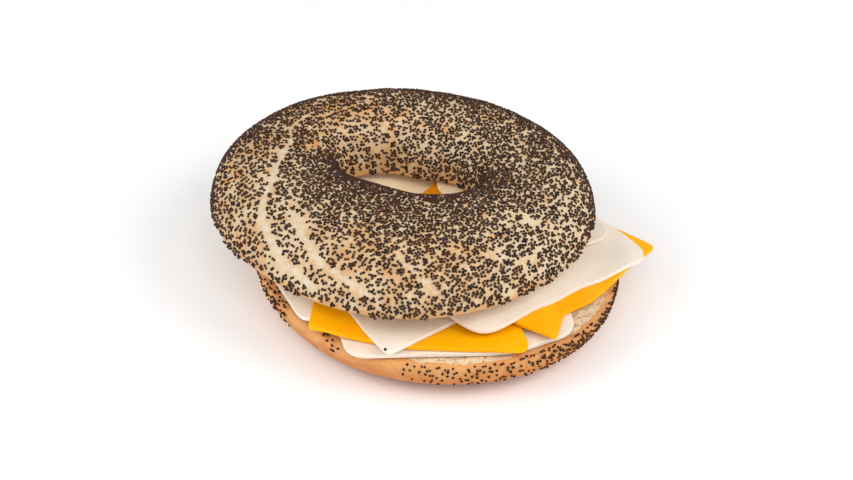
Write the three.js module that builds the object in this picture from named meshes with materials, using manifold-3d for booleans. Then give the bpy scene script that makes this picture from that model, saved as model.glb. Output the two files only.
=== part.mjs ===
// A poppy-seed bagel, cut in two and filled with white and yellow cheese slices.
//
// Millimetres, +Z up. The bagel lies on its flat underside at z = 0. The origin is
// the middle of the bottom of the box round it.
import * as THREE from 'three';
import { mergeVertices } from 'three/addons/utils/BufferGeometryUtils.js';
import Module from 'manifold-3d';

const wasm = await Module();
wasm.setup();

const DEGREE = Math.PI / 180;

// Driving sizes.
const BOTTOM_THICKNESS = 14;         // underside to cut face of the bottom half
const DOME_HEIGHT = 19;              // cut face to crest of the top half
const TOP_CUT_HEIGHT = 23.3;         // the top half's cut face, at the middle of that half
const TOP_LEAN = 2.5 * DEGREE;       // the top half leans back and left, off the pile of cheese
const SLICE_THICKNESS = 1.3;
const AIR_GAP = 0.3;                 // between things that lie on each other
const SLICE_LEDGE = 4;               // a slice lies level this far past the edge under it
const SLICE_FALL = 11;               // and then sinks by one slice over this distance
const RIM_LEDGE = 3;                 // a slice stays level this far past the bottom half's rim
const RIM_DROOP = 0.25;              // and slopes down by this much from there
const SWELL_FROM = 3;                // this slice and those above it swell up into the top half's hole,
const SWELL_HEIGHT = 4.5;            // by this much at most,
const SWELL_MIDDLE = [-14, 30];      // here,
const SWELL_REACH = [30, 18];        // and by a third of it this far away in x or in y
const LATTICE = 6;                   // grid on which every slice is draped
const AROUND = 56;                   // facets round a half
const CRUST_STEPS = 12;              // facets across a half's crust
const SEED_LENGTH = 1.2;
const SEED_WIDTH = 0.95;
const SEED_HEIGHT = 0.85;
const SEED_SUNK = 0.15;
const SEED_SIDES = 6;
const TOP_SEEDS = 200;
const TOP_SPACING = 4.2;             // no two seeds of the top half are nearer than this
const BOTTOM_SEEDS = 64;
const BOTTOM_SPACING = 3.2;
const BARE_RIM = 5 * DEGREE;         // the top's crust is bare this far up from its cut,
const BARE_HOLE = 165 * DEGREE;      // and from here down inside its hole
const BARE_FOOT = 2;                 // the bottom's side is bare this far above its underside,
const BARE_LIP = 2;                  // this far below its cut,
const BARE_FRONT = [215, 262];       // and between these turns, in degrees, at the front left
const RANDOM_START = 20240611;
const SHORT_STEP = 0.01;             // for directions, a small step of either angle
const LARGEST_PATCH = 3600;          // no part of a crust is larger than this for one step of each

// Each half is a ring between two uneven ovals, the outside and the hole. An oval has
// two half lengths, a turn, a middle, and lumps [times round, share of radius, phase].
const bottomHalf = {
  outside: { a: 60.2, b: 53.6, turn: -47.8 * DEGREE, middle: [0, 0], lumps: [[3, 0.01, -0.41]] },
  hole: { a: 15, b: 10, turn: 0, middle: [-2, 3], lumps: [] },
  middle: new THREE.Vector3(1.3, 1.9, BOTTOM_THICKNESS),
  crest: 0.5,                        // where the ring is thickest, from outside to hole
  fullness: 2.3,                     // 2 is an elliptic crust, more is squarer
  height: -15,                       // the round form would go this deep,
  flat: -BOTTOM_THICKNESS,           // but it is flat where it was baked on its base
  lean: new THREE.Euler(),
};
const topHalf = {
  outside: { a: 63.8, b: 55.9, turn: -46.8 * DEGREE, middle: [0, 0],
    lumps: [[3, 0.0167, -1.61], [4, 0.0097, 0.13]] },
  hole: { a: 24.4, b: 11.2, turn: -26.3 * DEGREE, middle: [3.4, 7.6],
    lumps: [[3, 0.045, -2.355], [4, 0.069, -1.563]] },
  middle: new THREE.Vector3(-8.75, 12.5, TOP_CUT_HEIGHT),
  crest: 0.52,
  fullness: 2.2,
  height: DOME_HEIGHT,
  flat: DOME_HEIGHT,
  lean: new THREE.Euler(-TOP_LEAN, -TOP_LEAN, 0),
};

// The slices, lowest first: corners [x, y, radius] in order round each slice.
const slices = [
  { name: 'white_slice_1', cheese: 'white',
    corners: [[-24.2, -51.1, 8], [24.1, -49.4, 30], [43.8, -38.9, 9], [38.5, -7.9, 8],
      [-34.1, -10.3, 8]] },
  { name: 'white_slice_2', cheese: 'white',
    corners: [[-37.4, -36.7, 7], [0, -19, 6], [-18, 26, 6], [-56.7, 7.1, 7]] },
  { name: 'yellow_slice_1', cheese: 'yellow',
    corners: [[-36.1, -40.6, 2], [-6.7, -48.9, 20], [29.8, -50.9, 4], [18.9, -8.6, 3],
      [-32.7, -2, 3]] },
  { name: 'white_slice_3', cheese: 'white',
    corners: [[-12.3, -54.1, 2.5], [34.7, -16.8, 3], [-9, 52.6, 3], [-56, 15.3, 3]] },
  { name: 'yellow_slice_2', cheese: 'yellow',
    corners: [[37.1, -46.1, 1.5], [39.9, -32.4, 4], [48.2, -26.3, 8], [71.2, 8.2, 2], [7.6, 41.9, 2],
      [-25.4, -9.4, 2]] },
  { name: 'white_slice_4', cheese: 'white',
    corners: [[15.2, -48.7, 11], [69.4, -0.4, 8], [34.1, 39.9, 8], [-18.6, -12.6, 8]] },
  { name: 'white_slice_5', cheese: 'white',
    corners: [[58.2, 5.7, 8], [35.4, 49.1, 8], [-0.4, 33.5, 8], [22.5, -9.9, 8]] },
];

const materials = {
  crust: new THREE.MeshStandardMaterial({ color: '#d9b88c', roughness: 0.75, metalness: 0 }),
  white: new THREE.MeshStandardMaterial({ color: '#efe4d6', roughness: 0.45, metalness: 0 }),
  yellow: new THREE.MeshStandardMaterial({ color: '#fbb004', roughness: 0.45, metalness: 0 }),
};

// ---- Closed meshes and joins ----

function closedGeometry(positions, triangles) {
  const geometry = new THREE.BufferGeometry();
  geometry.setAttribute('position', new THREE.Float32BufferAttribute(positions, 3));
  geometry.setIndex(triangles);
  return geometry;
}

function toManifold(geometry) {
  const bare = geometry.clone();
  bare.deleteAttribute('normal');
  bare.deleteAttribute('uv');
  const merged = mergeVertices(bare);
  return new wasm.Manifold(new wasm.Mesh({
    numProp: 3,
    vertProperties: new Float32Array(merged.attributes.position.array),
    triVerts: new Uint32Array(merged.index.array),
  }));
}

function fromManifold(solid) {
  const mesh = solid.getMesh();
  return closedGeometry(mesh.vertProperties, Array.from(mesh.triVerts));
}

// ---- The two halves ----

function ovalPoint(oval, theta) {
  const turned = theta - oval.turn;
  const plain = oval.a * oval.b / Math.hypot(oval.b * Math.cos(turned), oval.a * Math.sin(turned));
  const addLump = (sum, [times, share, phase]) => sum + share * Math.cos(times * theta + phase);
  const radius = plain * oval.lumps.reduce(addLump, 1);
  return new THREE.Vector2(...oval.middle)
    .add(new THREE.Vector2(radius * Math.cos(theta), radius * Math.sin(theta)));
}

// A point of the crust, from the outside rim (alpha 0) over the crest to the hole (alpha PI).
function crustPoint(half, theta, alpha) {
  const outside = ovalPoint(half.outside, theta);
  const hole = ovalPoint(half.hole, theta);
  const crest = outside.clone().lerp(hole, half.crest);
  const across = Math.abs(Math.cos(alpha)) ** (2 / half.fullness);
  const place = crest.lerp(Math.cos(alpha) > 0 ? outside : hole, across);
  const round = half.height * Math.max(Math.sin(alpha), 0) ** (2 / half.fullness);
  const height = half.height > 0 ? Math.min(round, half.flat) : Math.max(round, half.flat);
  return new THREE.Vector3(place.x, place.y, height)
    .applyEuler(half.lean)
    .add(half.middle);
}

// The stations across the crust. A flat underside has none of its own, so it is one facet wide.
function crustStations(half) {
  const share = Math.abs(half.flat / half.height) ** (half.fullness / 2);
  const turn = Math.asin(Math.min(share, 1));
  const steps = CRUST_STEPS / 2;
  const outer = Array.from({ length: steps + 1 }, (_, k) => turn * k / steps);
  const inner = outer.map((alpha) => Math.PI - alpha).reverse();
  return share < 1 ? [...outer, ...inner] : [...outer, ...inner.slice(1)];
}

// The crust's outside facing direction, as long as the patch between two short steps is large.
function crustNormal(half, theta, alpha) {
  const here = crustPoint(half, theta, alpha);
  const round = crustPoint(half, theta + SHORT_STEP, alpha).sub(here);
  const over = crustPoint(half, theta, alpha + SHORT_STEP).sub(here);
  const normal = round.cross(over);
  return half.height > 0 ? normal : normal.negate();
}

function halfSolid(half) {
  const stations = crustStations(half);
  const positions = [];
  const triangles = [];
  for (let i = 0; i < AROUND; i += 1) {
    for (const alpha of stations) {
      positions.push(...crustPoint(half, 2 * Math.PI * i / AROUND, alpha).toArray());
    }
  }
  // The last strip of each turn runs from the hole's rim back to the outside: the cut face.
  const vertex = (i, j) => (i % AROUND) * stations.length + (j % stations.length);
  for (let i = 0; i < AROUND; i += 1) {
    for (let j = 0; j < stations.length; j += 1) {
      const corners = [vertex(i, j), vertex(i + 1, j), vertex(i + 1, j + 1), vertex(i, j + 1)];
      const [p, q, r, s] = half.height > 0 ? corners : corners.reverse();
      triangles.push(p, q, r, p, r, s);
    }
  }
  return toManifold(closedGeometry(positions, triangles));
}

// ---- The seeds fused to the crust ----

function randomSource(start) {
  let state = start;
  return () => {
    state = (state * 1664525 + 1013904223) % 4294967296;
    return state / 4294967296;
  };
}

// Places spread evenly over the crust by area, none nearer to another than the spacing.
function spreadPlaces(half, count, spacing, isBare, random) {
  const places = [];
  while (places.length < count) {
    const theta = 2 * Math.PI * random();
    const alpha = Math.PI * random();
    const normal = crustNormal(half, theta, alpha);
    const patch = normal.length() / SHORT_STEP ** 2;
    const point = crustPoint(half, theta, alpha);
    const kept = random() < patch / LARGEST_PATCH && !isBare(theta, alpha, point);
    if (kept && places.every((other) => other.point.distanceTo(point) > spacing)) {
      places.push({ point, normal: normal.normalize(), spin: 2 * Math.PI * random() });
    }
  }
  return places;
}

// A seed is two low six-sided cones base to base, longer than wide, with its middle sunk.
function addSeed(place, positions, triangles) {
  const first = positions.length / 3;
  const turn = new THREE.Quaternion()
    .setFromUnitVectors(new THREE.Vector3(0, 0, 1), place.normal)
    .multiply(new THREE.Quaternion().setFromAxisAngle(new THREE.Vector3(0, 0, 1), place.spin));
  const middle = place.point.clone().addScaledVector(place.normal, -SEED_SUNK);
  const put = (x, y, z) => {
    const corner = new THREE.Vector3(x, y, z).applyQuaternion(turn).add(middle);
    positions.push(...corner.toArray());
  };
  put(0, 0, SEED_HEIGHT / 2);
  put(0, 0, -SEED_HEIGHT / 2);
  for (let k = 0; k < SEED_SIDES; k += 1) {
    const angle = 2 * Math.PI * k / SEED_SIDES;
    put(SEED_LENGTH / 2 * Math.cos(angle), SEED_WIDTH / 2 * Math.sin(angle), 0);
  }
  for (let k = 0; k < SEED_SIDES; k += 1) {
    const here = first + 2 + k;
    const next = first + 2 + (k + 1) % SEED_SIDES;
    triangles.push(first, here, next, first + 1, next, here);
  }
}

function seedSolid(places) {
  const positions = [];
  const triangles = [];
  places.forEach((place) => addSeed(place, positions, triangles));
  return toManifold(closedGeometry(positions, triangles));
}

// The top is seeded all over, down to a bare line above its cut, outside and in its hole.
const isBareOnTop = (theta, alpha) => alpha < BARE_RIM || alpha > BARE_HOLE;

// The bottom is seeded on its side only, with a bare stretch at the front left.
function isBareBelow(theta, alpha, point) {
  const turn = ((theta / DEGREE) + 360) % 360;
  const high = point.z > BARE_FOOT && point.z < BOTTOM_THICKNESS - BARE_LIP;
  const atFront = turn > BARE_FRONT[0] && turn < BARE_FRONT[1];
  return alpha > Math.PI / 2 || !high || atFront;
}

// ---- The cheese slices ----

function smoothStep(value) {
  const t = Math.min(Math.max(value, 0), 1);
  return t * t * (3 - 2 * t);
}

// Distance from a slice's straight-sided outline, negative inside it.
function distanceOutside(corners, x, y) {
  let nearest = Infinity;
  let inside = false;
  corners.forEach(([ax, ay], i) => {
    const [bx, by] = corners[(i + 1) % corners.length];
    const [dx, dy] = [bx - ax, by - ay];
    const along = Math.min(Math.max(((x - ax) * dx + (y - ay) * dy) / (dx * dx + dy * dy), 0), 1);
    nearest = Math.min(nearest, Math.hypot(ax + dx * along - x, ay + dy * along - y));
    if ((ay > y) !== (by > y) && x < dx * (y - ay) / dy + ax) inside = !inside;
  });
  return inside ? -nearest : nearest;
}

// The upper slices swell up where the hole of the top half leaves them free.
function swellHeight(k, x, y) {
  const acrossX = (x - SWELL_MIDDLE[0]) / SWELL_REACH[0];
  const acrossY = (y - SWELL_MIDDLE[1]) / SWELL_REACH[1];
  return k < SWELL_FROM ? 0 : SWELL_HEIGHT * Math.exp(-(acrossX ** 2) - acrossY ** 2);
}

// Height of the underside of slice number k: the cut face, and one step for each slice under it.
function drapeHeight(k, x, y) {
  const fromMiddle = new THREE.Vector2(x - bottomHalf.middle.x, y - bottomHalf.middle.y);
  const rim = ovalPoint(bottomHalf.outside, fromMiddle.angle()).length();
  const pastRim = Math.max(fromMiddle.length() - rim - RIM_LEDGE, 0);
  const step = SLICE_THICKNESS + AIR_GAP;
  return slices.slice(0, k).reduce(
    (height, under) => height
      + step * (1 - smoothStep((distanceOutside(under.corners, x, y) - SLICE_LEDGE) / SLICE_FALL)),
    BOTTOM_THICKNESS + AIR_GAP - RIM_DROOP * pastRim + swellHeight(k, x, y),
  );
}

function sliceOutline(corners) {
  const shape = new THREE.Shape();
  corners.forEach(([x, y, radius], i) => {
    const corner = new THREE.Vector2(x, y);
    const before = new THREE.Vector2(...corners.at(i - 1)).sub(corner);
    const after = new THREE.Vector2(...corners[(i + 1) % corners.length]).sub(corner);
    const halfAngle = Math.acos(before.dot(after) / (before.length() * after.length())) / 2;
    const longest = 0.45 * Math.min(before.length(), after.length());
    const cut = Math.min(radius / Math.tan(halfAngle), longest);
    const start = corner.clone().addScaledVector(before.normalize(), cut);
    const end = corner.clone().addScaledVector(after.normalize(), cut);
    if (i === 0) shape.moveTo(start.x, start.y);
    else shape.lineTo(start.x, start.y);
    shape.quadraticCurveTo(corner.x, corner.y, end.x, end.y);
  });
  shape.closePath();
  return shape;
}

// A draped sheet larger than slice number k, both faces split on the shared lattice alike.
function drapedSheet(k) {
  const xs = slices[k].corners.map(([x]) => x);
  const ys = slices[k].corners.map(([, y]) => y);
  const first = [Math.min(...xs), Math.min(...ys)].map((low) => Math.floor(low / LATTICE) - 1);
  const last = [Math.max(...xs), Math.max(...ys)].map((high) => Math.ceil(high / LATTICE) + 1);
  const [columns, rows] = [last[0] - first[0] + 1, last[1] - first[1] + 1];
  const positions = [];
  for (const lift of [0, SLICE_THICKNESS]) {
    for (let j = 0; j < rows; j += 1) {
      for (let i = 0; i < columns; i += 1) {
        const [x, y] = [(first[0] + i) * LATTICE, (first[1] + j) * LATTICE];
        positions.push(x, y, drapeHeight(k, x, y) + lift);
      }
    }
  }
  const low = (i, j) => j * columns + i;
  const high = (i, j) => rows * columns + low(i, j);
  const triangles = [];
  const addQuad = (p, q, r, s) => triangles.push(p, q, r, p, r, s);
  for (let j = 0; j + 1 < rows; j += 1) {
    for (let i = 0; i + 1 < columns; i += 1) {
      addQuad(high(i, j), high(i + 1, j), high(i + 1, j + 1), high(i, j + 1));
      triangles.push(low(i, j), low(i + 1, j + 1), low(i + 1, j));
      triangles.push(low(i, j), low(i, j + 1), low(i + 1, j + 1));
    }
  }
  for (let i = 0; i + 1 < columns; i += 1) {
    addQuad(low(i, 0), low(i + 1, 0), high(i + 1, 0), high(i, 0));
    addQuad(low(i + 1, rows - 1), low(i, rows - 1), high(i, rows - 1), high(i + 1, rows - 1));
  }
  for (let j = 0; j + 1 < rows; j += 1) {
    addQuad(low(0, j + 1), low(0, j), high(0, j), high(0, j + 1));
    addQuad(low(columns - 1, j), low(columns - 1, j + 1), high(columns - 1, j + 1), high(columns - 1, j));
  }
  return toManifold(closedGeometry(positions, triangles));
}

function sliceSolid(k) {
  const cutter = new THREE.ExtrudeGeometry(sliceOutline(slices[k].corners), {
    depth: TOP_CUT_HEIGHT + DOME_HEIGHT,
    bevelEnabled: false,
    curveSegments: 5,
  });
  return drapedSheet(k).intersect(toManifold(cutter));
}

// ---- The whole bagel ----

function namedMesh(name, solid, material) {
  const mesh = new THREE.Mesh(fromManifold(solid), material);
  mesh.name = name;
  return mesh;
}

const random = randomSource(RANDOM_START);
const topPlaces = spreadPlaces(topHalf, TOP_SEEDS, TOP_SPACING, isBareOnTop, random);
const bottomPlaces = spreadPlaces(bottomHalf, BOTTOM_SEEDS, BOTTOM_SPACING, isBareBelow, random);

const bagel = new THREE.Group();
bagel.name = 'filled_bagel';
bagel.add(namedMesh('bagel_bottom', halfSolid(bottomHalf).add(seedSolid(bottomPlaces)), materials.crust));
slices.forEach((slice, k) => bagel.add(namedMesh(slice.name, sliceSolid(k), materials[slice.cheese])));
bagel.add(namedMesh('bagel_top', halfSolid(topHalf).add(seedSolid(topPlaces)), materials.crust));

// The origin goes to the middle of the bottom of the box round the whole.
const box = new THREE.Box3().setFromObject(bagel);
const middle = box.getCenter(new THREE.Vector3());
bagel.position.set(-middle.x, -middle.y, -box.min.z);

export default bagel;
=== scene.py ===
# A poppy-seed bagel, cut in two and filled with white and yellow cheese slices.
import math
from itertools import product

import bpy
import numpy as np
from mathutils import Matrix, Vector, noise


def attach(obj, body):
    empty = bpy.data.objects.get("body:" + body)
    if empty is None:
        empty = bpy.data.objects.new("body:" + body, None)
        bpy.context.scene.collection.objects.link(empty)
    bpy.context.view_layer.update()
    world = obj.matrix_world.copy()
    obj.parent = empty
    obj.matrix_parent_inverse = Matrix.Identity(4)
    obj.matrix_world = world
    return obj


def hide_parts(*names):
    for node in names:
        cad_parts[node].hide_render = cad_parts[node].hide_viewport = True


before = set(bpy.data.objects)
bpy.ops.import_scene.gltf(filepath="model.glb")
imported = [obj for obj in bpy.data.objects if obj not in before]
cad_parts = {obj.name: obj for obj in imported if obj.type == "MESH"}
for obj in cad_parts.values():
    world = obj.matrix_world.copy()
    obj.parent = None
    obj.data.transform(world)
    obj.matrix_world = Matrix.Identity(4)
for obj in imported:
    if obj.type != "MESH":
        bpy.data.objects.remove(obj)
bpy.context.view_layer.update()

# ---- The table and its light ----
# A wide white table top in a pale room, a large soft box high at each side, and one over the camera
# for the cheese under the rim.
MM = 0.001
TABLE_RADIUS = 3.0
TABLE_DROP = 0.05                   # in mm, so that the table's face isn't in the plane of the underside
TABLE_WHITE = (0.96, 0.96, 0.96, 1)
SURROUND_STRENGTH = 0.52
SOFT_BOXES = (                      # place in metres, size in metres, power in watts
    ((0.70, -0.25, 0.60), 0.6, 4.3),
    ((-0.70, -0.20, 0.55), 0.6, 3.6),
    ((0.05, -0.64, 0.64), 0.6, 2.5),
)
AIM = Vector((-1.65, -8.36, 21.0)) * MM
CAMERA_HEIGHT = math.radians(35)
CAMERA_DISTANCE = 0.65
CAMERA_LENS = 88.33
CAMERA_SENSOR = 36
CAMERA_NEAR = 0.01


class Signal:
    """A socket of a material that can be used in sums."""

    def __init__(self, finish, socket):
        self.finish = finish
        self.socket = socket

    def work(self, operation, first, second):
        return self.finish.add("ShaderNodeMath", {"operation": operation}, {0: first, 1: second})

    def __add__(self, other):
        return self.work("ADD", self, other)

    def __radd__(self, other):
        return self.work("ADD", other, self)

    def __sub__(self, other):
        return self.work("SUBTRACT", self, other)

    def __rsub__(self, other):
        return self.work("SUBTRACT", other, self)

    def __mul__(self, other):
        return self.work("MULTIPLY", self, other)

    def __rmul__(self, other):
        return self.work("MULTIPLY", other, self)

    def between(self, low, high):
        """0 below low, 1 above high and smooth between them."""
        return self.finish.add(
            "ShaderNodeMapRange", {"interpolation_type": "SMOOTHSTEP"},
            {"Value": self, "From Min": low, "From Max": high})


class Finish:
    """One material. add() makes a node from its type, its settings and what its sockets get."""

    def __init__(self, name):
        self.material = bpy.data.materials.new(name)
        self.material.use_nodes = True
        self.tree = self.material.node_tree
        self.tree.nodes.clear()

    def add(self, kind, settings, sockets, output=0):
        node = self.tree.nodes.new(kind)
        for name, value in settings.items():
            setattr(node, name, value)
        for name, value in sockets.items():
            if isinstance(value, Signal):
                self.tree.links.new(value.socket, node.inputs[name])
            else:
                node.inputs[name].default_value = value
        return Signal(self, node.outputs[output])

    def place(self):
        return self.add("ShaderNodeTexCoord", {}, {}, "Object")

    def stretched(self, factors):
        return self.add("ShaderNodeMapping", {}, {"Vector": self.place(), "Scale": factors})

    def blots(self, size, detail=2.0, place=None, roughness=0.5):
        """Soft random blots about so many mm across, from 0 to 1."""
        return self.add("ShaderNodeTexNoise", {}, {
            "Vector": place or self.place(), "Scale": 1 / (size * MM), "Detail": detail,
            "Roughness": roughness})

    def pores(self, size, place=None):
        """Distance to the nearest of scattered points about so many mm apart, from 0 to about 1."""
        return self.add("ShaderNodeTexVoronoi", {}, {
            "Vector": place or self.place(), "Scale": 1 / (size * MM)}, "Distance")

    def kept(self, attribute):
        """A number that each point of the mesh carries."""
        return self.add("ShaderNodeAttribute", {"attribute_name": attribute}, {}, "Fac")

    def blend(self, first, second, share):
        return self.add("ShaderNodeMix", {"data_type": "RGBA"}, {0: share, 6: first, 7: second}, 2)

    def away(self, middle):
        """Distance from a place in the object's own frame, in mm."""
        return self.add("ShaderNodeVectorMath", {"operation": "DISTANCE"},
                        {0: self.place(), 1: middle}, "Value") * (1 / MM)

    def relief(self, height, depth):
        """A bump of so many mm."""
        return self.add("ShaderNodeBump", {}, {
            "Height": height, "Distance": depth * MM, "Strength": 1.0})

    def surface(self, **sockets):
        named = {name.replace("_", " "): value for name, value in sockets.items()}
        shader = self.add("ShaderNodeBsdfPrincipled", {}, named)
        output = self.tree.nodes.new("ShaderNodeOutputMaterial")
        self.tree.links.new(shader.socket, output.inputs["Surface"])
        return self.material


def tint(red, green, blue):
    """A colour from its 0 to 255 values on a screen."""
    screen = (red / 255, green / 255, blue / 255)
    return (*(c / 12.92 if c < 0.04045 else ((c + 0.055) / 1.055) ** 2.4 for c in screen), 1)


bpy.ops.object.select_all(action="DESELECT")
bpy.ops.mesh.primitive_circle_add(vertices=96, radius=TABLE_RADIUS, fill_type="NGON",
                                  location=(0, 0, -TABLE_DROP * MM))
table = bpy.context.object
table.name = "table_top"
table_finish = Finish("white_table")
table.data.materials.append(table_finish.surface(Base_Color=TABLE_WHITE, Roughness=0.6))

surround = bpy.data.worlds.new("pale_surround")
surround.use_nodes = True
surround.node_tree.nodes["Background"].inputs["Color"].default_value = (1, 1, 1, 1)
surround.node_tree.nodes["Background"].inputs["Strength"].default_value = SURROUND_STRENGTH
bpy.context.scene.world = surround
for number, (place, size, power) in enumerate(SOFT_BOXES):
    bpy.ops.object.light_add(type="AREA", location=place)
    light = bpy.context.object
    light.name = f"soft_box_{number + 1}"
    light.data.shape = "SQUARE"
    light.data.size = size
    light.data.energy = power
    light.rotation_euler = (-Vector(place)).to_track_quat("-Z", "Y").to_euler()

back = Vector((0, -math.cos(CAMERA_HEIGHT), math.sin(CAMERA_HEIGHT)))
bpy.ops.object.camera_add(location=AIM + CAMERA_DISTANCE * back)
camera = bpy.context.object
camera.rotation_euler = (-back).to_track_quat("-Z", "Y").to_euler()
camera.data.lens = CAMERA_LENS
camera.data.sensor_width = CAMERA_SENSOR
camera.data.clip_start = CAMERA_NEAR
bpy.context.scene.camera = camera
bpy.context.scene.view_settings.view_transform = "Standard"
bpy.context.scene.view_settings.look = "None"

# ---- The bottom half ----
# The lower half of a boiled and baked ring of dough, 14 mm thick, flat below where it lay in the
# oven. Its side is smooth and toasted orange-tan; its cut face is pale, open crumb.
BREAD_AROUND = 480
CRUST_ACROSS = 88
CUT_ACROSS = 44
ON_CRUST = -9.0                     # mm past the lip: any number below 0
EDGE_FADE = 0.12                    # radians of alpha in which the swells die out at both rims
CRUMB_SUNK = 0.3
CRUMB_TEARS = ((0.3, 5, 1.7), (0.4, 2.3, 5.2), (0.2, 1.1, 8.3))     # depth, size and start, in mm
ROUNDING_CORE = 1.4
OUTER_PASSES = 5                    # rounds of smoothing for each point that the outer rim is rounded over
HOLE_ROUNDING, HOLE_PASSES = 5, 16
FOLD_WIDTH = 0.9
BOTTOM_THICKNESS = 14.0
# Ovals are half lengths, turn, middle and lumps. The lip is how far the crust curls onto the cut
# face, in mm, at each theta in degrees. Other lengths are in mm and angles in radians.
BOTTOM = {
    "outside": (60.2, 53.6, math.radians(-47.8), (0, 0), ((3, 0.01, -0.41),)),
    "hole": (15, 10, 0, (-2, 3), ()),
    "middle": np.array((1.3, 1.9, BOTTOM_THICKNESS)),
    "crest": 0.5, "fullness": 2.3, "height": -15, "flat": BOTTOM_THICKNESS, "lean": np.eye(3),
    "rounding": 12, "first_alpha": -0.75, "clumps_apart": 1.5,
    "lip": ((30, 1.5), (150, 3), (195, 6), (252, 6), (263, 1), (290, 0.8), (300, 1.5), (309, 1.2),
            (317, 0.5), (345, 0.4)),
}


def oval_point(oval, theta):
    """The rim of an uneven oval: half lengths, turn, middle, and lumps (times, share, phase)."""
    a, b, turn, middle, lumps = oval
    plain = a * b / np.hypot(b * np.cos(theta - turn), a * np.sin(theta - turn))
    radius = plain * (1 + sum(share * np.cos(times * theta + phase) for times, share, phase in lumps))
    return np.stack((middle[0] + radius * np.cos(theta), middle[1] + radius * np.sin(theta)), -1)


def crust_point(half, theta, alpha):
    """The plain crust, from the outside rim (alpha 0) over the crest to the hole (alpha pi).

    Below 0, alpha runs back from the outside rim onto the cut face.
    """
    outside, hole = oval_point(half["outside"], theta), oval_point(half["hole"], theta)
    crest = outside + (hole - outside) * half["crest"]
    across = (np.abs(np.cos(alpha)) ** (2 / half["fullness"]))[..., None]
    side = np.where((np.cos(alpha) > 0)[..., None], outside, hole)
    height = half["height"] * np.maximum(np.sin(alpha), 0) ** (2 / half["fullness"])
    height = np.clip(height, -half["flat"], half["flat"])[..., None]
    plan = crest + (side - crest) * across
    return np.concatenate((plan, height), -1) @ half["lean"].T + half["middle"]


def crust_steps(half, theta, alpha, step=0.004):
    """How far and which way the crust runs for each radian of theta, and for each of alpha."""
    along = crust_point(half, theta + step, alpha) - crust_point(half, theta - step, alpha)
    low = np.where(alpha < 0, alpha - step, np.maximum(alpha - step, 0.001))
    high = np.where(alpha < 0, np.minimum(alpha + step, -0.001), np.minimum(alpha + step, math.pi - 0.001))
    over = crust_point(half, theta, high) - crust_point(half, theta, low)
    return along / (2 * step), over / (high - low)[..., None]


def crust_normal(half, theta, alpha):
    along, over = crust_steps(half, theta, alpha)
    normal = np.cross(along, over) * (1 if half["height"] > 0 else -1)
    return normal / np.maximum(np.linalg.norm(normal, axis=-1, keepdims=True), 1e-9)


def cloud(points, size, start=0.0):
    """Smooth random values from -1 to 1, one a point, in blots about so many mm across."""
    flat = points.reshape(-1, 3) / size + start
    return np.array([noise.noise(Vector(p)) for p in flat]).reshape(points.shape[:-1])


def closeness(points, line, width):
    """1 on a line of points and falling to 0 a width or two away from it."""
    nearest = np.full(points.shape[:-1], 1e9)
    for start, end in zip(line[:-1], line[1:]):
        run = end - start
        along = np.clip(((points - start) @ run) / (run @ run), 0, 1)
        nearest = np.minimum(nearest, np.linalg.norm(points - start - along[..., None] * run, axis=-1))
    return np.exp(-(nearest / width) ** 2)


def crust_line(half, degrees):
    """A line on the crust from its (theta, alpha) stations in degrees."""
    theta, alpha = np.radians(np.array(degrees, float)).T
    return crust_point(half, theta, alpha)


BOTTOM_FOLD = crust_line(BOTTOM, [(-131, 1), (-131.5, 15), (-130, 30), (-127, 44)])


def bottom_relief(points):
    """How far the side of the bottom half stands out of its plain shape, in mm."""
    fold = closeness(points, BOTTOM_FOLD, FOLD_WIDTH)
    return 0.35 * cloud(points, 22, 3.1) + 0.12 * cloud(points, 7, 9.7) - 0.45 * fold


def risen_crust(half, theta, alpha):
    """The crust with its swells and folds, and the direction it faces."""
    plain = crust_point(half, theta, alpha)
    facing = crust_normal(half, theta, alpha)
    strength = np.clip(np.minimum(alpha, math.pi - alpha) / EDGE_FADE, 0, 1)
    return plain + facing * (half["relief"](plain) * strength)[..., None], facing


def eased(steps, ease=0.74):
    """Shares from 0 to 1, closer together at both ends."""
    even = np.linspace(0, 1, steps + 1)
    return even - ease * np.sin(2 * math.pi * even) / (2 * math.pi)


def lip_width(half, theta):
    """How far the crust curls over the outside rim onto the cut face, in mm."""
    turns, widths = zip(*half["lip"])
    even = np.interp(np.degrees(theta), turns, widths, period=360)
    around = np.stack((np.cos(theta), np.sin(theta), np.zeros(theta.shape)), -1)
    return even * (1 + 0.5 * cloud(around, 0.11, 3.7)) + 0.4 * cloud(around, 0.03, 8.1)


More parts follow.
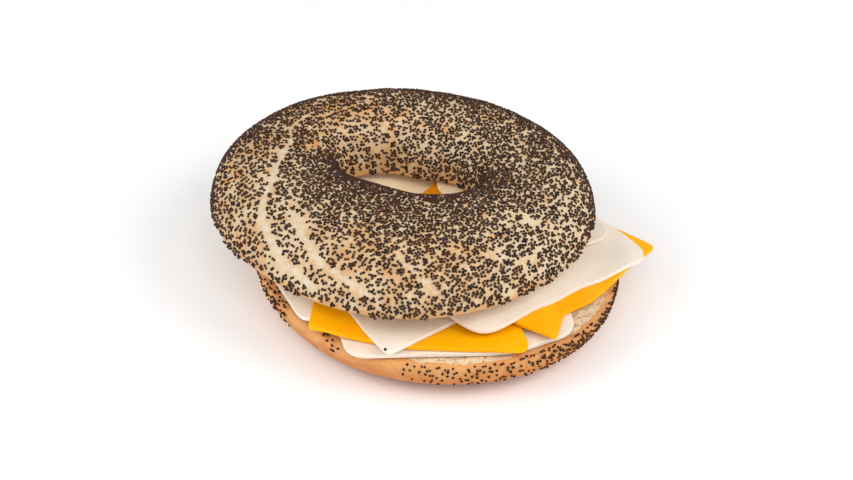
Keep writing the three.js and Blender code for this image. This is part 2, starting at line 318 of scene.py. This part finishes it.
def bread_half(name, half, crust_finish, crumb_finish):
    """A torus moved point by point into a half of the ring, with its cut face on the open side."""
    bpy.ops.object.select_all(action="DESELECT")
    across = CRUST_ACROSS + CUT_ACROSS
    bpy.ops.mesh.primitive_torus_add(major_segments=BREAD_AROUND, minor_segments=across,
                                     major_radius=1.0, minor_radius=0.25)
    bread = bpy.context.object
    bread.name = name
    torus = np.empty(len(bread.data.vertices) * 3)
    bread.data.vertices.foreach_get("co", torus)
    torus = torus.reshape(-1, 3)
    ring = np.hypot(torus[:, 0], torus[:, 1])
    i = np.rint(np.arctan2(torus[:, 1], torus[:, 0]) / (2 * math.pi) * BREAD_AROUND).astype(int)
    j = np.rint(np.arctan2(torus[:, 2], ring - 1) / (2 * math.pi) * across).astype(int)
    i, j = i % BREAD_AROUND, j % across
    theta, alpha = np.meshgrid(2 * math.pi * np.arange(BREAD_AROUND) / BREAD_AROUND,
                               math.pi * eased(CRUST_ACROSS), indexing="ij")
    crust, _ = risen_crust(half, theta, alpha)
    share = eased(CUT_ACROSS)[1:-1][None, :, None]
    cut = crust[:, -1:] + (crust[:, :1] - crust[:, -1:]) * share
    past_lip = np.full(theta.shape[:1] + (across,), ON_CRUST)
    past_lip[:, CRUST_ACROSS + 1:] = np.minimum(
        np.linalg.norm(cut - crust[:, :1], axis=-1) - lip_width(half, theta[:, :1]),
        np.linalg.norm(cut - crust[:, -1:], axis=-1))
    open_share = np.clip(past_lip[:, CRUST_ACROSS + 1:, None], 0, 1)
    torn = sum(depth * cloud(cut, size, start) for depth, size, start in CRUMB_TEARS)
    inside = half["lean"] @ np.array((0, 0, math.copysign(1, half["height"])))
    cut = cut + inside * (CRUMB_SUNK + torn)[..., None].clip(0, None) * open_share
    grid = np.concatenate((crust, cut), 1)
    grid[..., 2] = grid[..., 2].clip(0, None)
    station = np.arange(grid.shape[1])
    rims = ((0, half["rounding"], OUTER_PASSES * half["rounding"]),
            (CRUST_ACROSS, HOLE_ROUNDING, HOLE_PASSES))
    for rim, reach, passes in rims:
        apart = np.abs((station - rim + across // 2) % across - across // 2)
        soft = np.clip(ROUNDING_CORE - apart / reach, 0, 1)[None, :, None]
        for _ in range(passes):
            grid = grid + soft * (0.5 * (np.roll(grid, 1, 1) + np.roll(grid, -1, 1)) - grid)
    if half["height"] < 0:
        j = (-j) % across
    bread.data.vertices.foreach_set("co", (grid[i, j] * MM + SHIFT).ravel())
    for attribute, values in half["marks"](grid, past_lip).items():
        layer = bread.data.attributes.new(attribute, "FLOAT", "POINT")
        layer.data.foreach_set("value", values[i, j])
    bread.data.materials.append(crust_finish)
    bread.data.materials.append(crumb_finish)
    corners = np.empty(len(bread.data.loops), int)
    bread.data.loops.foreach_get("vertex_index", corners)
    on_cut = past_lip[i, j] > 0
    bread.data.polygons.foreach_set("material_index", on_cut[corners].reshape(-1, 4).all(1).astype(int))
    bpy.ops.object.shade_smooth()
    bread.data.update()
    return bread


def crust_look(name, pale, warm, bare, dark):
    """Baked crust: pale or warm by the mesh's own marks, blotched, wrinkled and a little glossy."""
    finish = Finish(name)
    blotches = finish.blots(6, 4, roughness=0.6)
    freckles = finish.blots(1.4, 4)
    toast = (finish.kept("toast") + (blotches - 0.5) * 2.0 + (freckles - 0.5) * 0.7).between(0.0, 1.0)
    ground = finish.blend(pale, warm, toast)
    scorch = finish.kept("scorch") * 1.2 + (freckles - 0.5) * 1.1
    ground = finish.blend(ground, dark, scorch.between(0.35, 1.1))
    streaks = finish.blots(1.0, 3, finish.stretched((1, 0.4, 0.6)))
    bareness = finish.kept("bare") + (finish.blots(2.0, 3) - 0.5) * 1.1
    stretched = finish.blend(bare, pale, streaks.between(0.35, 0.65))
    ground = finish.blend(ground, stretched, bareness.between(0.3, 0.9))
    wrinkles = finish.blots(0.9, 4, finish.stretched((1, 1.6, 1)))
    skin = finish.relief(wrinkles + 0.5 * finish.pores(0.7) + 0.8 * blotches, 0.2)
    return finish.surface(Base_Color=ground, Roughness=0.55 + (freckles - 0.5) * 0.3, Normal=skin,
                          Specular_IOR_Level=0.3)


def crumb_look(name):
    """Torn open crumb: cream, with painted shade of a darker, warmer tone in its pits, and toasted where it
    meets the crust.
    """
    finish = Finish(name)
    pits = finish.pores(1.9, finish.stretched((1, 1, 0.7)))
    grain = finish.blots(0.9, 5, roughness=0.7)
    ground = finish.blend(tint(255, 232, 198), tint(244, 204, 158),
                          (finish.blots(4, 4) * 0.9 + grain * 0.8).between(0.7, 1.1))
    # painted shade: a darker, warmer tone in the pits of the bump below
    ground = finish.blend(ground, tint(214, 148, 88), (grain * 0.9 + (1 - pits)).between(1.05, 1.4))
    ground = finish.blend(ground, tint(240, 188, 130), finish.kept("toast").between(0.35, 1.1))
    rough = finish.relief(grain * 1.2 + pits * 0.9, 0.9)
    return finish.surface(Base_Color=ground, Roughness=0.85, Normal=rough, Specular_IOR_Level=0.15)


def bottom_marks(grid, past_lip):
    """Where the bottom half is toasted, scorched or bare, from 0 to 1 at each point."""
    height = grid[..., 2]
    low = np.clip(1 - height / 5, 0, 1)
    crust = (past_lip < 0).astype(float)
    fold = closeness(grid, BOTTOM_FOLD, FOLD_WIDTH)
    toast = crust * (0.85 - 0.8 * np.clip((height - 9) / 5, 0, 1))
    toast += (1 - crust) * 0.7 * np.clip(1 - past_lip / 3, 0, 1)
    return {"toast": toast, "scorch": crust * low * 0.75, "bare": crust * fold * 0.9}


BOTTOM["relief"] = bottom_relief
BOTTOM["marks"] = bottom_marks
SHIFT = np.array((-0.559, -8.359, 0.0)) * MM
crumb_finish = crumb_look("open_crumb")
bottom_crust_finish = crust_look("toasted_crust", tint(216, 156, 96), tint(200, 124, 56),
                                 tint(228, 190, 142), tint(166, 96, 44))
bottom_bread = bread_half("bottom_bread", BOTTOM, bottom_crust_finish, crumb_finish)
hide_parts("bagel_bottom")
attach(bottom_bread, "root")

# ---- The cheese slices ----
# Seven processed-cheese slices 1.3 mm thick, five white with rounded corners and two yellow with
# sharper ones. They are soft, so each lies down over the edges of those under it, and the upper
# four swell up where the hole of the top half leaves them free.
SLICE_THICKNESS = 1.3
AIR_GAP = 0.3
SLICE_LEDGE = 4
SLICE_FALL = 11
RIM_LEDGE = 3
RIM_DROOP = 0.25
SWELL_FROM = 3
SWELL_HEIGHT = 4.5
SWELL_MIDDLE = (-14, 30)
SWELL_REACH = (30, 18)
WAVE_HEIGHT, WAVE_SIZE = 0.1, 19
SLICE_AROUND = 400
SLICE_RINGS = 26
CORNER_STEPS = 12
CORNER_LIMIT = 0.45                 # a corner's rounding ends before the middle of its shorter side
EDGE_ROUNDING = 0.12
EDGE_STEPS = ((3, 0), (1, 0), (0.3, 0.3), (0, 1), (0, 3))           # inset and drop, in roundings
# The cheese that shows in the hole gets a deeper tone there: painted shade and warm bounce light.
HOLE_SHADE_MIDDLE = Vector((-5.9, 16.0, 22.0)) * MM
HOLE_SHADE_REACH = (18, 27)             # mm from there to where the deeper tone starts to fade and ends
SLICES = (
    ("white_slice_1", "white",
     ((-24.2, -51.1, 8), (24.1, -49.4, 30), (43.8, -38.9, 9), (38.5, -7.9, 8), (-34.1, -10.3, 8))),
    ("white_slice_2", "white", ((-37.4, -36.7, 7), (0, -19, 6), (-18, 26, 6), (-56.7, 7.1, 7))),
    ("yellow_slice_1", "yellow",
     ((-36.1, -40.6, 2), (-6.7, -48.9, 20), (29.8, -50.9, 4), (18.9, -8.6, 3), (-32.7, -2, 3))),
    ("white_slice_3", "white",
     ((-12.3, -54.1, 2.5), (34.7, -16.8, 3), (-9, 52.6, 3), (-56, 15.3, 3))),
    ("yellow_slice_2", "yellow",
     ((37.1, -46.1, 1.5), (39.9, -32.4, 4), (48.2, -26.3, 8), (71.2, 8.2, 2), (7.6, 41.9, 2),
      (-25.4, -9.4, 2))),
    ("white_slice_4", "white",
     ((15.2, -48.7, 11), (69.4, -0.4, 8), (34.1, 39.9, 8), (-18.6, -12.6, 8))),
    ("white_slice_5", "white",
     ((58.2, 5.7, 8), (35.4, 49.1, 8), (-0.4, 33.5, 8), (22.5, -9.9, 8))),
)


def slice_outline(corners):
    """The cut edge of a slice, walked round at even steps, its corners rounded."""
    walk = []
    plan = np.array([corner[:2] for corner in corners], float)
    for n, (here, (_, _, radius)) in enumerate(zip(plan, corners)):
        before, after = plan[n - 1] - here, plan[(n + 1) % len(plan)] - here
        lengths = np.linalg.norm(before), np.linalg.norm(after)
        half_angle = math.acos(before @ after / (lengths[0] * lengths[1])) / 2
        cut = min(radius / math.tan(half_angle), CORNER_LIMIT * min(lengths))
        start, end = here + before / lengths[0] * cut, here + after / lengths[1] * cut
        for t in np.linspace(0, 1, CORNER_STEPS + 1):
            walk.append((1 - t) ** 2 * start + 2 * t * (1 - t) * here + t * t * end)
    walk = np.array(walk + walk[:1])
    length = np.concatenate(([0], np.cumsum(np.linalg.norm(np.diff(walk, axis=0), axis=1))))
    even = np.linspace(0, length[-1], SLICE_AROUND, endpoint=False)
    return np.stack([np.interp(even, length, walk[:, axis]) for axis in (0, 1)], -1)


def distance_outside(corners, x, y):
    """Distance from a slice's straight-sided outline, negative inside it."""
    nearest = np.full(x.shape, 1e9)
    inside = np.zeros(x.shape, bool)
    for n, (ax, ay, _) in enumerate(corners):
        bx, by, _ = corners[(n + 1) % len(corners)]
        dx, dy = bx - ax, by - ay
        along = np.clip(((x - ax) * dx + (y - ay) * dy) / (dx * dx + dy * dy), 0, 1)
        nearest = np.minimum(nearest, np.hypot(ax + dx * along - x, ay + dy * along - y))
        if dy:
            inside ^= ((ay > y) != (by > y)) & (x < dx * (y - ay) / dy + ax)
    return np.where(inside, -nearest, nearest)


def drape_height(k, x, y):
    """The underside of slice number k: the cut face, and a step for each slice under it."""
    across, along = x - BOTTOM["middle"][0], y - BOTTOM["middle"][1]
    rim = np.linalg.norm(oval_point(BOTTOM["outside"], np.arctan2(along, across)), axis=-1)
    past_rim = np.maximum(np.hypot(across, along) - rim - RIM_LEDGE, 0)
    height = BOTTOM_THICKNESS + AIR_GAP - RIM_DROOP * past_rim
    for _, _, corners in SLICES[:k]:
        share = np.clip((distance_outside(corners, x, y) - SLICE_LEDGE) / SLICE_FALL, 0, 1)
        height += (SLICE_THICKNESS + AIR_GAP) * (1 - share * share * (3 - 2 * share))
    if k >= SWELL_FROM:
        away = ((x - SWELL_MIDDLE[0]) / SWELL_REACH[0]) ** 2 + ((y - SWELL_MIDDLE[1]) / SWELL_REACH[1]) ** 2
        height += SWELL_HEIGHT * np.exp(-away)
    flat = np.stack((x, y, np.zeros(x.shape)), -1)
    return height + WAVE_HEIGHT * cloud(flat, WAVE_SIZE, 4.4)


def cheese_slice(k, finish):
    """A ball pressed flat, its rings moved onto the slice's two faces and its cut edge."""
    name, kind, corners = SLICES[k]
    bpy.ops.object.select_all(action="DESELECT")
    edge = [(EDGE_ROUNDING * inset, EDGE_ROUNDING * drop) for inset, drop in EDGE_STEPS]
    rings = 2 * (SLICE_RINGS + len(edge)) - 1
    bpy.ops.mesh.primitive_uv_sphere_add(segments=SLICE_AROUND, ring_count=rings, radius=1.0)
    sheet = bpy.context.object
    sheet.name = "soft_" + name
    ball = np.empty(len(sheet.data.vertices) * 3)
    sheet.data.vertices.foreach_get("co", ball)
    ball = ball.reshape(-1, 3)
    ring = np.rint(np.arccos(np.clip(ball[:, 2], -1, 1)) / math.pi * rings).astype(int)
    turn = np.rint(np.arctan2(ball[:, 1], ball[:, 0]) / (2 * math.pi) * SLICE_AROUND).astype(int)
    below = ring > rings // 2
    ring = np.where(below, rings - ring, ring)
    shares = np.concatenate((np.arange(SLICE_RINGS) / SLICE_RINGS, np.ones(len(edge))))
    insets = np.concatenate((np.full(SLICE_RINGS, edge[0][0]), [inset for inset, _ in edge]))
    drops = np.concatenate((np.zeros(SLICE_RINGS), [drop for _, drop in edge]))
    outline = slice_outline(corners)
    middle = outline.mean(0)
    reach = outline[turn % SLICE_AROUND] - middle
    length = np.linalg.norm(reach, axis=-1)
    plan = middle + reach * (shares[ring] * (1 - insets[ring] / length))[:, None]
    lift = np.where(below, drops[ring], SLICE_THICKNESS - drops[ring])
    height = drape_height(k, plan[:, 0], plan[:, 1]) + lift
    sheet.data.vertices.foreach_set(
        "co", (np.column_stack((plan, height)) * MM + SHIFT).astype(np.float32).ravel())
    sheet.data.materials.append(finish)
    bpy.ops.object.shade_smooth()
    sheet.data.update()
    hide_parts(name)
    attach(sheet, "root")


def cheese_look(name, body, light, gloss, glow, hole_shade):
    """Smooth, waxy cheese with faint clouds of a lighter tone, a soft inner glow, and a deeper tone
    painted where it shows in the hole, as painted shade and warm bounce light."""
    finish = Finish(name)
    clouds = finish.blots(14, 3)
    specks = finish.blots(1.1, 3)
    colour = finish.blend(body, light, (clouds * 0.8 + specks * 0.2).between(0.35, 0.65))
    # painted shade and warm bounce light: a deeper tone near the middle of the hole
    in_hole = 1 - (finish.away(HOLE_SHADE_MIDDLE) + (clouds - 0.5) * 8).between(*HOLE_SHADE_REACH)
    colour = finish.blend(colour, hole_shade, in_hole)
    skin = finish.relief(finish.blots(3.5, 2) + 0.25 * specks, 0.08)
    return finish.surface(
        Base_Color=colour, Roughness=0.45 + (clouds - 0.5) * 0.2, Normal=skin,
        Specular_IOR_Level=gloss, Subsurface_Weight=0.12, Subsurface_Radius=glow,
        Subsurface_Scale=1.2 * MM)


# The last colour of each is its painted shade and warm bounce light in the hole.
cheese_finishes = {
    "white": cheese_look("white_cheese", tint(232, 219, 203), tint(238, 227, 212), 0.2,
                         (1, 0.88, 0.76), tint(248, 222, 182)),
    "yellow": cheese_look("yellow_cheese", tint(250, 170, 0), tint(252, 180, 0), 0.12, (1, 0.5, 0.02),
                          tint(222, 138, 10)),
}
for k, (_, kind, _) in enumerate(SLICES):
    cheese_slice(k, cheese_finishes[kind])

# ---- The top half ----
# The upper half of the ring, domed and paler, slid back and to the left on the pile of cheese.
# The dough has stretched into bare, wrinkled strips at the left and a crease at the front.
TOP_LEAN = math.radians(-2.5)
TOP = {
    "outside": (63.8, 55.9, math.radians(-46.8), (0, 0), ((3, 0.0167, -1.61), (4, 0.0097, 0.13))),
    "hole": (24.4, 11.2, math.radians(-26.3), (3.4, 7.6), ((3, 0.045, -2.355), (4, 0.069, -1.563))),
    "middle": np.array((-8.75, 12.5, 23.3)),
    "crest": 0.52, "fullness": 2.2, "height": 19, "flat": 19,
    "lean": np.array(Matrix.Rotation(TOP_LEAN, 3, "X") @ Matrix.Rotation(TOP_LEAN, 3, "Y")),
    "rounding": 5, "first_alpha": 0.0, "clumps_apart": 1.9, "lip": ((0, 0.3),),
}
LEFT_STRIP = crust_line(TOP, [(166, 100), (175, 93), (-173, 84), (-163, 73), (-157, 61), (-152, 50),
                              (-146, 41), (-140, 34), (-134, 27), (-128, 22), (-117, 15)])
INNER_STRIP = crust_line(TOP, [(-140, 63), (-132, 55), (-125, 48), (-120, 41), (-114, 34), (-108, 30),
                               (-103, 25), (-98, 19)])
CREASE = crust_line(TOP, [(-91, 54), (-88, 47), (-85, 40), (-82, 31), (-79, 22)])
BARE_LINES = (      # the middle line of each thinly seeded streak, and its half width in mm
    (crust_line(TOP, [(-60, 92), (-55, 77), (-52, 66), (-48, 56)]), 1.1),
    (crust_line(TOP, [(-62, 45), (-54, 31), (-46, 32)]), 1.0),
    (crust_line(TOP, [(-74, 46), (-70, 39), (-62, 45)]), 0.7),
    (crust_line(TOP, [(-45, 66), (-40, 48), (-34, 30)]), 0.9),
    (crust_line(TOP, [(40, 92), (33, 97), (27, 103)]), 1.4),
    (crust_line(TOP, [(168, 114), (160, 123), (150, 120)]), 1.3),
)
WARM_SIDE = crust_line(TOP, [(105, 118), (130, 96), (160, 110), (176, 60), (-176, 35), (-168, 22),
                             (-158, 13), (-146, 7)])
# The front middle of the top is made darker and duller through the toast mark, as painted shade.
SHADED_FRONT_MIDDLE = crust_line(TOP, [(-112, 50), (-90, 42), (-72, 48)])
PALE_RIGHT = crust_line(TOP, [(-66, 40), (-42, 46), (-18, 44)])
# On the left the seeds are fewer, and the crust there is made paler as painted light.
THIN_LEFT = crust_line(TOP, [(-178, 50), (-170, 30), (-155, 30), (-140, 32), (-122, 30), (-110, 22)])
HOLE_BACK = crust_line(TOP, [(165, 177), (140, 177), (110, 177), (80, 177), (50, 177), (30, 177)])
SCORCHED = (        # theta and alpha in degrees, and reach in mm, of each toasted spot
    (-59, 60, 1.5), (-76, 78, 1.2), (-108, 44, 1.3), (-38, 48, 1.1), (129, 91, 3.4), (112, 103, 2.6),
    (105, 131, 2.2), (168, 114, 3.0), (160, 123, 2.6), (-172, 76, 1.6), (-179, 41, 2.6), (174, 46, 2.2),
    (39, 91, 2.4), (54, 122, 1.6), (-34, 108, 1.4), (-112, 90, 1.2), (-37, 29, 1.2), (66, 63, 2.0),
)


def top_relief(points):
    """How far the crust of the top half stands out of its plain shape, in mm."""
    strips = np.maximum(closeness(points, LEFT_STRIP, 2.2), closeness(points, INNER_STRIP, 1.8))
    crease = closeness(points, CREASE, 0.6)
    ribs = cloud(points * np.array((1, 0.35, 0.6)), 1.6, 6.6) * 0.3 * strips
    swells = 0.45 * cloud(points, 24, 2.2) + 0.2 * cloud(points, 8, 7.4)
    return swells - 0.35 * strips + ribs - 0.6 * crease


def top_marks(grid, past_lip):
    """Where the top half is toasted, scorched or bare, from 0 to 1 at each point."""
    crust = (past_lip < 0).astype(float)
    strips = 0.7 * np.maximum(closeness(grid, LEFT_STRIP, 2.2), closeness(grid, INNER_STRIP, 1.7))
    for line, width in BARE_LINES:
        strips = np.maximum(strips, 0.35 * closeness(grid, line, width))
    strips = np.maximum(strips, 0.45 * closeness(grid, PALE_RIGHT, 15))
    # painted light: the crust on the lit left side is made paler through the bare mark
    strips = np.maximum(strips, 0.35 * closeness(grid, THIN_LEFT, 12))
    strips = np.maximum(strips, 0.8 * closeness(grid, CREASE, 1.0))
    scorch = 0.65 * closeness(grid, HOLE_BACK, 1.3)
    for theta, alpha, reach in SCORCHED:
        spot = crust_line(TOP, [(theta, alpha)])[0]
        scorch = np.maximum(scorch, np.exp(-(np.linalg.norm(grid - spot, axis=-1) / reach) ** 2))
    alpha = math.pi * eased(CRUST_ACROSS)
    rim = np.zeros(grid.shape[:2])
    rim[:, :CRUST_ACROSS + 1] = np.clip(1 - alpha / 0.16, 0, 1) * 0.8 \
        + np.clip((alpha - 2.6) / 0.5, 0, 1) * 0.6
    rim += (1 - crust) * 0.6 * np.clip(1 - past_lip / 3, 0, 1)
    # Real toast on the warm side, and painted shade on the front middle, both carried by the toast mark.
    toast_and_shade = 0.25 + 0.38 * np.maximum(closeness(grid, WARM_SIDE, 11), closeness(grid, SHADED_FRONT_MIDDLE, 15))
    return {"toast": crust * toast_and_shade + rim, "scorch": scorch, "bare": strips}


TOP["relief"] = top_relief
TOP["marks"] = top_marks
top_crust_finish = crust_look("pale_crust", tint(214, 192, 158), tint(198, 152, 102),
                              tint(218, 207, 188), tint(216, 156, 88))
top_bread = bread_half("top_bread", TOP, top_crust_finish, crumb_finish)
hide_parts("bagel_top")
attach(top_bread, "root")

# ---- The poppy seeds ----
# Kidney-shaped seeds 1 mm long, blue-black, brown or grey, that stuck to the wet dough. They sit in
# small clumps with pale crust round each, closest at the near side of the hole.
SEED_SIZE = np.array((0.51, 0.45, 0.41))         # half lengths in mm
SEED_SCALES = (0.86, 1.12)
SEED_TILT = 0.3
SEED_LIFT = 0.1
KIDNEY_BEND, KIDNEY_SHIFT = 0.28, 0.1            # how far the ball's two ends bend to the side
SEED_COVER = 0.56                                # mm2 of crust that each seed of a clump takes up
SEED_APART = 0.8                                 # least distance between two seeds, in mm
SEED_STEPS = (1.0, 1.22)                         # from a seed to the next, in least distances
CLUMP_GAP = 0.5                                  # extra distance between seeds of two clumps
CLUMP_CORE, CLUMP_SPREAD = 0.6, 0.62             # a clump's reach: fixed, and for each root of its seeds
CLUMP_TRIES = 60000
GROWTH_ROUNDS = 80
RIM_CLEAR, HOLE_EDGE = 0.02, 3.12                # radians of alpha: gap at the rim, and the last seeds
BOX_SIZE = 2.3                                   # more than the longest distance that is asked for
STRETCH_ACROSS, STRETCH_AROUND = 14, 22          # mm across for each radian of alpha, and radius
STRETCH_SIZE = 3.8                               # mm across each mesh of the net
STRETCH_WIDTH = 0.1
STRETCH_BARE = 0.75
LOOSE_SEEDS = ((-13.1, -52.3, 18.7), (45.6, -38.0, 14.3))
random = np.random.default_rng(20240611)


def plain_seed():
    """One seed about its own middle: a small ball drawn out, with the hollow side of a kidney."""
    bpy.ops.object.select_all(action="DESELECT")
    bpy.ops.mesh.primitive_uv_sphere_add(segments=6, ring_count=4, radius=1.0,
                                         rotation=(0, math.pi / 2, 0))
    bpy.ops.object.transform_apply(location=False, rotation=True, scale=False)
    ball = bpy.context.object
    points = np.array([vertex.co for vertex in ball.data.vertices])
    faces = [tuple(face.vertices) for face in ball.data.polygons]
    bpy.data.objects.remove(ball)
    points[:, 1] += KIDNEY_BEND * points[:, 0] ** 2 - KIDNEY_SHIFT
    return points * SEED_SIZE, faces


class Ground:
    """Points kept in boxes, so that those near a place are found at once."""

    def __init__(self):
        self.boxes = {}

    def box(self, point):
        return tuple(int(place // BOX_SIZE) for place in point)

    def near(self, point):
        x, y, z = self.box(point)
        for box in product((x - 1, x, x + 1), (y - 1, y, y + 1), (z - 1, z, z + 1)):
            yield from self.boxes.get(box, ())

    def has_room(self, point, clump, apart, clumps_apart):
        return all(math.dist(point, other) > (apart if owner == clump else clumps_apart)
                   for other, owner in self.near(point))

    def put(self, point, clump):
        self.boxes.setdefault(self.box(point), []).append((point, clump))


def clump_middles(half):
    """Places spread evenly over a crust, and the area of crust round each."""
    theta = 2 * math.pi * random.random(CLUMP_TRIES)
    alpha = random.uniform(half["first_alpha"], math.pi, CLUMP_TRIES)
    patch = np.linalg.norm(np.cross(*crust_steps(half, theta, alpha)), axis=-1)
    by_area = random.random(CLUMP_TRIES) < patch / patch.max()
    theta, alpha = theta[by_area], alpha[by_area]
    ground, kept = Ground(), []
    for n, point in enumerate(crust_point(half, theta, alpha).tolist()):
        if ground.has_room(point, None, half["clumps_apart"], half["clumps_apart"]):
            ground.put(point, n)
            kept.append(n)
    area = patch.mean() * 2 * math.pi * (math.pi - half["first_alpha"])
    return theta[kept], alpha[kept], area / len(kept)


def clumped_places(half, wanted):
    """Stations of seeds: each clump starts at its middle and grows by seeds that touch it."""
    theta, alpha, area = clump_middles(half)
    share = wanted(alpha, crust_point(half, theta, alpha), theta)
    room = share.clip(0, None) * area / SEED_COVER * random.gamma(4, 0.25, len(share))
    middles = crust_point(half, theta, alpha).tolist()
    growing = np.arange(len(share))
    members = [[] for _ in growing]
    found, ground = [], Ground()
    for turn in range(GROWTH_ROUNDS):
        growing = [n for n in growing if len(members[n]) < room[n] - 0.5]
        if not growing:
            break
        if turn:
            parents = np.array([members[n][random.integers(len(members[n]))] if members[n]
                                else (theta[n], alpha[n]) for n in growing])
        else:
            parents = np.stack((theta[growing], alpha[growing]), -1)
        along, over = (np.linalg.norm(run, axis=-1) for run in crust_steps(half, *parents.T))
        heading = 2 * math.pi * random.random(len(growing))
        step = SEED_APART * random.uniform(*SEED_STEPS, len(growing)) * bool(turn)
        new_theta = parents[:, 0] + step * np.cos(heading) / along
        new_alpha = parents[:, 1] + step * np.sin(heading) / over
        new_alpha = new_alpha.clip(half["first_alpha"] + RIM_CLEAR, HOLE_EDGE)
        points = crust_point(half, new_theta, new_alpha)
        here = wanted(new_alpha, points, new_theta)
        points = points.tolist()
        loose = CLUMP_GAP * (1 - (here - 0.6) / 0.4).clip(0.3, 1)
        for k, n in enumerate(growing):
            reach = SEED_APART * (CLUMP_CORE + CLUMP_SPREAD * math.sqrt(len(members[n]) + 1))
            welcome = here[k] > 0.3 * random.random() and math.dist(points[k], middles[n]) < reach
            if welcome and ground.has_room(points[k], n, SEED_APART, SEED_APART + loose[k]):
                ground.put(points[k], n)
                members[n].append((new_theta[k], new_alpha[k]))
                found.append((new_theta[k], new_alpha[k]))
    return np.array(found).T


def sow(name, points, facing, finish, node):
    """One mesh of seeds, each a copy of the plain seed at its own place, turn, size and tone."""
    shape, faces = plain_seed()
    count = len(points)
    up = facing + SEED_TILT * random.normal(size=(count, 3))
    up /= np.linalg.norm(up, axis=1, keepdims=True)
    side = np.cross(up, random.normal(size=(count, 3)))
    side /= np.linalg.norm(side, axis=1, keepdims=True)
    axes = np.stack((side, np.cross(up, side), up), 1)
    size = random.uniform(*SEED_SCALES, (count, 1, 1))
    middle = points + facing * SEED_LIFT
    placed = (shape[None] * size) @ axes + middle[:, None]
    mesh = bpy.data.meshes.new(name)
    every = [tuple(n * len(shape) + corner for corner in face) for n in range(count) for face in faces]
    mesh.from_pydata((placed.reshape(-1, 3) * MM + SHIFT).tolist(), [], every)
    tone = mesh.attributes.new("tone", "FLOAT", "POINT")
    tone.data.foreach_set("value", np.repeat(random.random(count), len(shape)))
    # how low each point sits on its seed, for the painted warm bounce light from the crust
    low = mesh.attributes.new("low", "FLOAT", "POINT")
    low.data.foreach_set("value", np.tile(0.5 - 0.5 * shape[:, 2] / SEED_SIZE[2], count))
    mesh.polygons.foreach_set("use_smooth", np.ones(len(every), bool))
    mesh.materials.append(finish)
    mesh.update()
    seeds = bpy.data.objects.new(name, mesh)
    bpy.context.collection.objects.link(seeds)
    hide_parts(node)
    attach(seeds, "root")


def seed_look(name, dull, bright):
    """Hard, faintly waxy seed skin, browner low down on its sides as painted bounce light; each seed has
    its own tone.
    """
    finish = Finish(name)
    colour = finish.blend(dull, bright, finish.kept("tone") * 0.7 + finish.blots(0.4, 2) * 0.3)
    # painted warm bounce light from the crust: brown on the low side of each seed
    colour = finish.blend(colour, tint(98, 54, 20), finish.kept("low").between(0.1, 0.75) * 0.7)
    return finish.surface(Base_Color=colour, Roughness=0.5,
                          Normal=finish.relief(finish.pores(0.16), 0.03), Specular_IOR_Level=0.1)


NEAR_HOLE = crust_line(TOP, [(-155, 105), (-128, 98), (-110, 92), (-92, 88), (-72, 88), (-55, 90),
                             (-35, 92), (-12, 96), (6, 105), (18, 120)])
FAR_CREST = crust_line(TOP, [(150, 60), (115, 75), (80, 80), (45, 75)])


def stretch_lines(theta, alpha):
    """1 on the net of fine lines where the skin stretched between the clumps, and 0 off it.

    The lines run mostly round the ring: a step along it counts for half of one across it.
    """
    across = STRETCH_ACROSS * alpha
    net = np.stack((STRETCH_AROUND * np.cos(theta), STRETCH_AROUND * np.sin(theta), across), -1)
    return np.exp(-(cloud(net, STRETCH_SIZE, 2.9) / STRETCH_WIDTH) ** 2)


def top_share(alpha, points, theta):
    """The share of the top crust that seeds should hide."""
    thin = closeness(points, THIN_LEFT, 14)
    share = 0.82 + 1.0 * closeness(points, NEAR_HOLE, 10) - 0.52 * thin
    share += 0.2 * closeness(points, FAR_CREST, 12) + 0.06 * cloud(points, 12, 6.1)
    share -= STRETCH_BARE * stretch_lines(theta, alpha) * (1 - thin)
    strips = np.maximum(closeness(points, LEFT_STRIP, 1.5), closeness(points, INNER_STRIP, 1.1))
    for line, width in BARE_LINES:
        strips = np.maximum(strips, 0.75 * closeness(points, line, width))
    strips = np.maximum(strips, closeness(points, CREASE, 1.3))
    share = share - 0.8 * np.clip(strips * 1.5 - 0.3, 0, 1)
    bare_rim = (np.degrees(alpha) < 2.5 + 4 * cloud(points, 9, 3.3)) | (alpha > math.radians(178.5))
    return np.where(bare_rim, 0, share)


SMALL_CLUMP = crust_line(BOTTOM, [(-129, -27), (-125, -14), (-122, -2), (-124, 7)])


def bottom_share(alpha, points, theta):
    """The share of the bottom half's side that seeds should hide; its front left is nearly bare."""
    turn = np.degrees(theta) % 360
    left = 0.2 * np.clip((214 - turn) / 3, 0, 1)
    right = 0.24 * np.clip((turn - 258) / 10, 0, 1) + 0.26 * np.clip((turn - 298) / 14, 0, 1)
    share = np.maximum(left, right) * np.clip((points[:, 2] - 3) / 9, 0, 1) ** 1.4
    share = np.maximum(share, 0.5 * closeness(points, SMALL_CLUMP, 1.1) - 0.1)
    inset = np.linalg.norm(points - crust_point(BOTTOM, theta, np.zeros(theta.shape)), axis=-1)
    on_side = (alpha < math.pi / 2) & (points[:, 2] > 1.6)
    on_lip = (alpha > 0) | (inset < lip_width(BOTTOM, theta))
    return np.where(on_side & on_lip, share, 0)


SEED_KINDS = (
    ("blue", seed_look("blue_black_poppy", tint(28, 22, 22), tint(54, 46, 47))),
    ("brown", seed_look("brown_poppy", tint(52, 28, 14), tint(84, 52, 28))),
    ("grey", seed_look("grey_poppy", tint(54, 42, 36), tint(88, 72, 62))),
)
KIND_SHARES = (0.42, 0.42, 0.16)
for half_name, half, wanted in (("bottom", BOTTOM, bottom_share), ("top", TOP, top_share)):
    points, facing = risen_crust(half, *clumped_places(half, wanted))
    if half is BOTTOM:
        points = np.concatenate((points, LOOSE_SEEDS))
        facing = np.concatenate((facing, np.tile((0, 0, 1), (len(LOOSE_SEEDS), 1))))
    kinds = random.choice(len(SEED_KINDS), len(points), p=KIND_SHARES)
    for number, (kind, finish) in enumerate(SEED_KINDS):
        own = kinds == number
        sow(f"{half_name}_{kind}_poppy", points[own], facing[own], finish, f"bagel_{half_name}")
